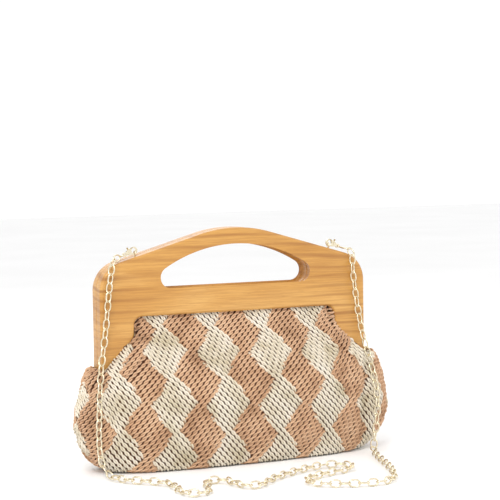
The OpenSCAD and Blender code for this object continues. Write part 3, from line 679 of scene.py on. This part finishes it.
class Cloth:
    """One face of the bag as a grid, which turns cloth distances (across, up) into points and normals."""

    def __init__(self, side):
        self.side = side
        self.share = np.linspace(-1, 1, GRID_ACROSS)
        rows = []
        self.half_girth = []
        for z in WALL_HEIGHTS:
            x, y, run = section(z)
            self.half_girth.append(run[-1])
            gx = np.interp(np.abs(self.share) * run[-1], run, x) * np.sign(self.share)
            gx = gx * (1 + RIGHT_FULLNESS * rises(z, 14, 34) * falls(z, 112, 26) * (gx > 0))
            gy = np.interp(np.abs(self.share) * run[-1], run, y)
            level = np.full_like(gx, z)
            ends = falls(np.abs(self.share), 1, SEAM_SHARE)
            gy = gy + (hand_shaped(gx, gy, level, side) - gy) * ends
            rows.append(np.stack([gx, side * gy, level], 1))
        self.points = np.array(rows) * MM
        self.half_girth = np.array(self.half_girth)
        deep = at_height(DEPTH_AT, WALL_HEIGHTS)
        self.rise = np.r_[0, np.cumsum(np.hypot(np.diff(WALL_HEIGHTS), np.diff(deep)))]
        self.update_normals()

    def update_normals(self):
        across = np.gradient(self.points, axis=1)
        up = np.gradient(self.points, axis=0)
        normal = unit(np.cross(across, up))
        self.normals = normal if self.side < 0 else -normal

    def settle(self):
        """Lets the cloth swell and wrinkle under slight fullness, held at its hem, seams and folded edges."""
        shape = self.points.shape
        quads = grid_quads(*shape[:2]).reshape(-1, 4)
        if self.side > 0:
            quads = quads[:, ::-1]
        piece = new_piece("settling", self.points.reshape(-1, 3), quads, bpy.data.materials[0])
        x, z = self.points[..., 0] / MM, self.points[..., 2] / MM
        base_z, hem_z, seam_share, edge, leg_x, leg_z = 2, 139, 0.97, 7, 97, 88
        held = (z < base_z) | (z > hem_z) | (np.abs(self.share)[None, :] > seam_share)
        held |= (cloth_top(x) - z < edge) | ((np.abs(x) > leg_x) & (z > leg_z))
        group = piece.vertex_groups.new(name="held")
        group.add(np.flatnonzero(held).tolist(), 1.0, "REPLACE")
        cloth = piece.modifiers.new("cloth", "CLOTH")
        settings = cloth.settings
        settings.quality = 6
        settings.mass = 0.2
        settings.tension_stiffness = 12
        settings.compression_stiffness = 12
        settings.bending_stiffness = 0.6
        settings.vertex_group_mass = "held"
        settings.shrink_min = -0.035
        settings.use_pressure = True
        settings.uniform_pressure_force = 0.6
        cloth.collision_settings.use_collision = False
        cloth.point_cache.frame_start = 1
        cloth.point_cache.frame_end = SETTLE_FRAMES
        scene = bpy.context.scene
        for step in range(1, SETTLE_FRAMES + 1):
            scene.frame_set(step)
        done = piece.evaluated_get(bpy.context.evaluated_depsgraph_get())
        moved = np.zeros(self.points.size, np.float32)
        done.data.vertices.foreach_get("co", moved)
        scene.frame_set(1)
        shift = moved.reshape(shape) - self.points
        length = np.linalg.norm(shift, axis=-1, keepdims=True)
        shift = shift * SETTLE_MOST * np.tanh(length / SETTLE_MOST) / np.maximum(length, 1e-9)
        self.points = self.points + np.nan_to_num(shift)
        self.update_normals()
        bpy.data.objects.remove(piece)

    def look(self, grid, across, up):
        """Values of a grid at cloth distances in mm."""
        row = np.interp(up, self.rise, np.arange(len(self.rise)))
        girth = np.interp(up, self.rise, self.half_girth)
        col = (np.clip(across / girth, -1, 1) + 1) / 2 * (GRID_ACROSS - 1)
        r = np.clip(row.astype(int), 0, len(self.rise) - 2)
        c = np.clip(col.astype(int), 0, GRID_ACROSS - 2)
        fr, fc = (row - r)[..., None], (col - c)[..., None]
        low = grid[r, c] * (1 - fc) + grid[r, c + 1] * fc
        high = grid[r + 1, c] * (1 - fc) + grid[r + 1, c + 1] * fc
        return low * (1 - fr) + high * fr

    def place(self, across, up):
        return self.look(self.points, across, up), unit(self.look(self.normals, across, up))

    def covers(self, across, up):
        """Whether cloth distances lie on the cloth, between its base, its side seams and its top edge."""
        past_seam, above_base, below_top = 0.8, 0.4, 0.5
        girth = np.interp(up, self.rise, self.half_girth)
        point = self.look(self.points, across, up) / MM
        inside = (np.abs(across) < girth + past_seam) & (up > above_base) & (up < self.rise[-1])
        return inside & (point[..., 2] < cloth_top(point[..., 0]) - below_top)

    def sheet(self, name, depth, material, floor_depth):
        """A thin sheet that follows the cloth at a depth behind its face, and closes over the base."""
        narrowing, base_half_w, floor_rows, past_top = 0.8, 0.12, 8, 0.4
        wall = self.points - self.normals * depth
        x = self.points[0, :, 0] * (1 - narrowing * floor_depth / base_half_w)
        under = []
        for reach in np.linspace(0, 1, floor_rows + 1)[:-1]:
            y = self.points[0, :, 1] * reach
            under.append(np.stack([x, y, np.full_like(x, floor_depth)], 1))
        wall[..., 2] = np.maximum(wall[..., 2], floor_depth)
        points = np.concatenate([np.array(under), wall])
        centre = (points[:-1, :-1] + points[1:, 1:]) / 2 / MM
        keep = centre[..., 2] < cloth_top(centre[..., 0]) + past_top
        quads = grid_quads(*points.shape[:2])[keep]
        if self.side > 0:
            quads = quads[:, ::-1]
        used, quads = np.unique(quads, return_inverse=True)
        piece = new_piece(name, points.reshape(-1, 3)[used], quads.reshape(-1, 4), material)
        thicken(piece, SHEET_T)
        return piece


# ---- the weave: bands of cord in two colours ----

# Lengths in mm, but for LOWEST.
BROWN_STEP = np.array((25.6, 24.0))    # one cell along the brown cords, across and up
CREAM_STEP = np.array((27.1, -27.5))   # one cell along the cream cords
CELL_ORIGIN = np.array((-25.3, 91.8))
CELLS_AROUND = 9                       # cells followed each way from the origin, to past the bag's edges
BROWN_CORDS, CREAM_CORDS = 10, 9       # cords in a cell
BROWN_FLOAT, CREAM_FLOAT = 0.16, 0.15  # share of a band's cords that float on over the next cell
FLOAT_REACH = 0.9                      # share of that cell which the outermost of them reaches over
SAMPLE = 0.5                           # step along a cord between tests of which colour shows
SHORTEST = 3                           # a float shorter than this is left out
RING_STEP = 1.15                       # about the distance between a cord's rings of points
TUCK = 3.0                             # how far a cord's end runs under the crossing band
CORD_DEPTH, BULGE = 0.7, 0.55          # of its middle line under the cloth's face, and its rise in mid-float
DIP, DIP_FROM, DIP_RUN = 2.0, 1.2, 4.0     # how far an end dips, and over which stretch
STITCH = 6.2                           # length of half a turn, after which the two plies have changed places
PHASE_STEP, PHASE_SCATTER = 0.25, 0.04     # from one cord's turn to the next, in half turns
PLY_R, PLY_OFFSET = 0.93, 0.98         # a ply's radius, and its distance from the cord's middle line
PLY_FLATNESS = 0.75                    # that distance is less through the cloth
PLY_SIDES = 5
LOWEST = 2.0 * MM                      # a cord's middle line stays above this, clear of the ground


def brown_on_top(p, q):
    """Whether brown shows at a place in the lattice: p runs along the brown cords and q along the cream."""
    fp, fq = p - np.floor(p), q - np.floor(q)
    brown_cell = (np.floor(p) + np.floor(q)) % 2 == 0

    def edge(over, along, share):
        return (over / share + along / FLOAT_REACH < 1) | ((1 - over) / share + (1 - along) / FLOAT_REACH < 1)

    cream_edge = edge(fp, fq, CREAM_FLOAT)
    brown_edge = edge(fq, fp, BROWN_FLOAT)
    return np.where(brown_cell, ~cream_edge, brown_edge)


def cords(cloth, brown):
    """Points and faces of all the cords of one colour on one face of the bag."""
    count = BROWN_CORDS if brown else CREAM_CORDS
    step = BROWN_STEP if brown else CREAM_STEP
    other = CREAM_STEP if brown else BROWN_STEP
    length = np.hypot(*step)
    at = np.arange(-CELLS_AROUND, CELLS_AROUND, SAMPLE / length)
    points, faces, total = [], [], 0
    ring = 2 * np.pi * np.arange(PLY_SIDES) / PLY_SIDES
    ring_c, ring_s = np.cos(ring)[None, :, None], np.sin(ring)[None, :, None]
    for cord in range(-CELLS_AROUND * count, CELLS_AROUND * count):
        level = (cord + 0.5) / count
        flat = CELL_ORIGIN + at[:, None] * step + level * other
        across, up = flat[:, 0], flat[:, 1]
        p, q = (at, np.full_like(at, level)) if brown else (np.full_like(at, level), at)
        shows = cloth.covers(across, up) & (brown_on_top(p, q) == brown)
        edges = np.flatnonzero(np.diff(np.r_[0, shows.astype(int), 0]))
        phase = PHASE_STEP * cord + rng.normal(0, PHASE_SCATTER)
        for first, last in zip(edges[::2], edges[1::2]):
            run = (last - first) * SAMPLE
            if run < SHORTEST:
                continue
            n = max(4, round((run + 2 * TUCK) / RING_STEP))
            s = np.linspace(-TUCK, run + TUCK, n + 1)
            place = CELL_ORIGIN + (at[first] + s / length)[:, None] * step + level * other
            point, normal = cloth.place(place[:, 0], place[:, 1])
            end = np.minimum(s, run - s)
            bulge = np.sin(np.pi * np.clip(s / run, 0, 1))
            height = -CORD_DEPTH + BULGE * bulge - DIP * falls(end, DIP_FROM, DIP_RUN)
            along = unit(np.gradient(point, axis=0))
            normal = unit(normal - (normal * along).sum(1, keepdims=True) * along)
            beside = np.cross(along, normal)
            centre = point + normal * (height * MM)[:, None]
            centre[:, 2] = np.maximum(centre[:, 2], LOWEST)
            turn = np.pi * (s + at[first] * length) / STITCH + np.pi * phase
            for ply in (0, np.pi):
                c, d = np.cos(turn + ply)[:, None], np.sin(turn + ply)[:, None]
                middle = centre + PLY_OFFSET * MM * (PLY_FLATNESS * c * normal + d * beside)
                wall = ring_c * normal[:, None] + ring_s * beside[:, None]
                points.append((middle[:, None] + PLY_R * MM * wall).reshape(-1, 3))
                faces.append(tube_faces(n + 1, PLY_SIDES) + total)
                total += (n + 1) * PLY_SIDES
    return np.vstack(points), np.vstack(faces)


def make_bag(materials):
    for side, word, nodes in ((-1, "front", ("lower_shell", "front_fold", "front_panel")),
                              (1, "back", ("back_fold", "back_panel"))):
        cloth = Cloth(side)
        cloth.settle()
        # A dark brown sheet just under the cords, which paints the shade seen between them.
        shade_backing = cloth.sheet(f"{word}_cloth", SHADE_BACKING_DEPTH, materials["shade_backing"], SHADE_BACKING_FLOOR)
        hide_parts(*nodes)
        with_it = []
        for colour in ("brown", "cream"):
            points, faces = cords(cloth, colour == "brown")
            piece = new_piece(f"{word}_cords_{colour}", points, faces, materials[colour])
            with_it.append(piece)
        lining = cloth.sheet(f"{word}_lining_cloth", LINING_DEPTH, materials["lining"], LINING_FLOOR)
        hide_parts(*(("lower_lining", "front_lining") if side < 0 else ("back_lining",)))
        for piece in (shade_backing, lining, *with_it):
            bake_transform(piece)
        if side > 0:
            make_pocket(cloth, materials["lining"])


def make_pocket(cloth, material):
    """A slip pocket on the back lining, with a turned hem along its top."""
    columns, rows = 37, 17
    across = np.linspace(-POCKET_HALF_W, POCKET_HALF_W, columns)
    up = np.linspace(*np.interp(POCKET_HEIGHTS, WALL_HEIGHTS, cloth.rise), rows)
    a, b = np.meshgrid(across, up)
    point, normal = cloth.place(a, b)
    edge = np.minimum(np.minimum(a + POCKET_HALF_W, POCKET_HALF_W - a), b - up[0])
    sewn, loose, hem = 5.1, 1.1, 0.5   # depth at the sewn edge, and what is added inside it and at the top
    lift = sewn + loose * rises(edge, 0, 14) + hem * (b > up[-3])
    points = point - normal * (lift * MM)[..., None]
    quads = grid_quads(*a.shape)[..., [0, 3, 2, 1]].reshape(-1, 4)
    pocket = new_piece("pocket_cloth", points.reshape(-1, 3), quads, material)
    thicken(pocket, POCKET_T)
    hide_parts("inner_pocket")
    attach(pocket, "bag")


# ---- finishes of the CAD nodes that show as they are ----

METAL_SHARP_ANGLE = math.radians(35)


def finish_nodes(materials):
    finishes = {
        "hinge": "brass", "screws": "brass", "magnets": "steel", "spring": "steel", "trigger": "trigger",
        "strip": "strip", "board": "board",
    }
    for name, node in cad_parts.items():
        finish = next((finishes[word] for word in finishes if word in name), "gold")
        node.data.materials.clear()
        node.data.materials.append(materials[finish])
        for polygon in node.data.polygons:
            polygon.use_smooth = True
        node.data.set_sharp_from_angle(angle=METAL_SHARP_ANGLE)


make_camera()
materials = make_materials()
make_chain(materials["gold"])
make_studio()
wood_half("front_board", -1, "front_frame", materials["wood"])
wood_half("back_board", 1, "back_frame", materials["wood"])
make_bag(materials)
finish_nodes(materials)
